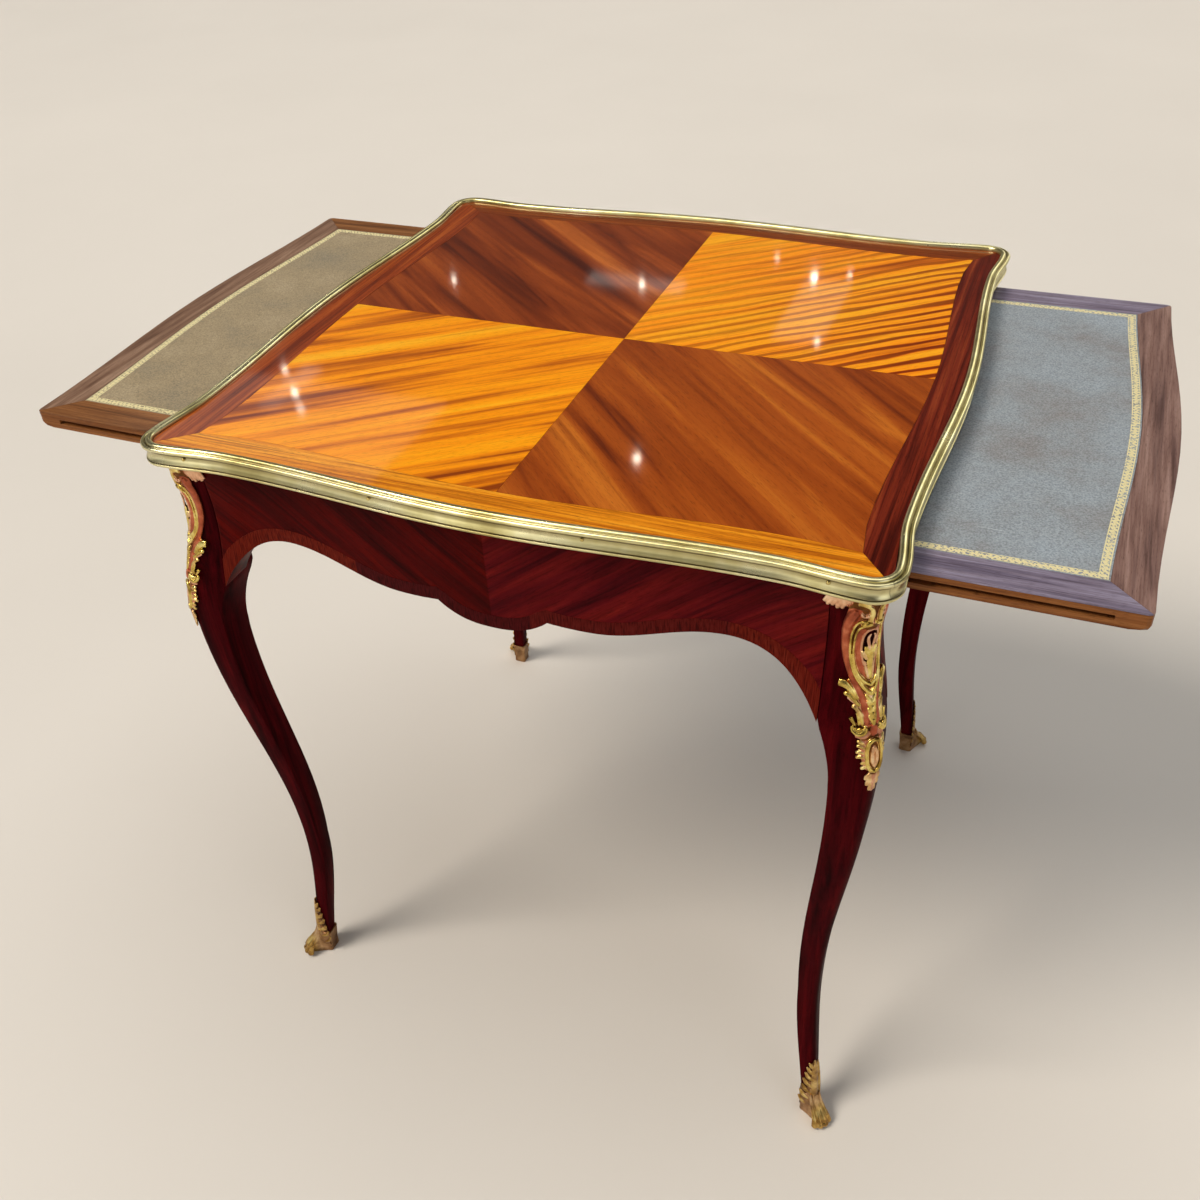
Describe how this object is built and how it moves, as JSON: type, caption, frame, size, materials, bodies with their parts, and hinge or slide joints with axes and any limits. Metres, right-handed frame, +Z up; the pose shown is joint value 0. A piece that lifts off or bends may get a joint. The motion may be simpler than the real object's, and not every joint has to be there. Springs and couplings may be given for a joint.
{
  "type": "cabaret table",
  "caption": "Small serpentine table with quartered veneer top, brass edge moulding, scalloped aprons, cabriole legs with gilt corner mounts and shoes, and leather-lined slides that pull out.",
  "frame": {"origin": "on the floor under the middle of the table", "axes": "+X to the right along the slides' travel, +Y from the front apron to the back one, +Z up"},
  "size_m": [1.036, 0.666, 0.75],
  "materials": {
    "carcass_oak": "bare planed oak",
    "kingwood_light": "French polished veneer, golden",
    "kingwood_dark": "French polished veneer, dark red-brown",
    "rosewood_band": "French polished crossbanding",
    "rosewood_apron": "polished veneer, satin",
    "rosewood_leg": "polished veneer, satin",
    "slide_rosewood": "waxed",
    "slide_band": "polished crossbanding, worn",
    "leather_olive": "worn desk leather with tooled border",
    "leather_slate": "worn desk leather with tooled border",
    "brass": "polished, aged",
    "ormolu": "gilt casting, chased"
  },
  "bodies": {
    "table_frame": {"top_board": "carcass_oak", "veneer_back_left": "kingwood_dark", "veneer_back_right": "kingwood_light", "veneer_front_left": "kingwood_light", "veneer_front_right": "kingwood_dark", "band_back": "rosewood_band", "edge_moulding_back": "brass", "apron_back": "rosewood_apron", "band_front": "rosewood_band", "edge_moulding_front": "brass", "apron_front": "rosewood_apron", "band_left": "rosewood_band", "edge_moulding_left": "brass", "apron_left": "rosewood_apron", "band_right": "rosewood_band", "edge_moulding_right": "brass", "apron_right": "rosewood_apron", "leg_back_left": "rosewood_leg", "shoe_back_left": "ormolu", "corner_mount_back_left": "ormolu", "runner_back_left": "carcass_oak", "corner_block_back_left": "carcass_oak", "leg_back_right": "rosewood_leg", "shoe_back_right": "ormolu", "corner_mount_back_right": "ormolu", "runner_back_right": "carcass_oak", "corner_block_back_right": "carcass_oak", "leg_front_left": "rosewood_leg", "shoe_front_left": "ormolu", "corner_mount_front_left": "ormolu", "runner_front_left": "carcass_oak", "corner_block_front_left": "carcass_oak", "leg_front_right": "rosewood_leg", "shoe_front_right": "ormolu", "corner_mount_front_right": "ormolu", "runner_front_right": "carcass_oak", "corner_block_front_right": "carcass_oak", "cross_rail": "carcass_oak"},
    "slide_left": {"slide_board_left": "slide_rosewood", "slide_leather_left": "leather_olive", "slide_band_end_left": "slide_band", "slide_band_inner_left": "slide_band", "slide_band_front_left": "slide_band", "slide_band_back_left": "slide_band", "slide_stop_left": "carcass_oak"},
    "slide_right": {"slide_board_right": "slide_rosewood", "slide_leather_right": "leather_slate", "slide_band_end_right": "slide_band", "slide_band_inner_right": "slide_band", "slide_band_front_right": "slide_band", "slide_band_back_right": "slide_band", "slide_stop_right": "carcass_oak"}
  },
  "joints": [
    {"name": "slide_left_pull", "type": "slide", "parent": "table_frame", "child": "slide_left", "axis": [-1, 0, 0], "range_m": [-0.186, 0]},
    {"name": "slide_right_pull", "type": "slide", "parent": "table_frame", "child": "slide_right", "axis": [1, 0, 0], "range_m": [-0.186, 0]}
  ]
}
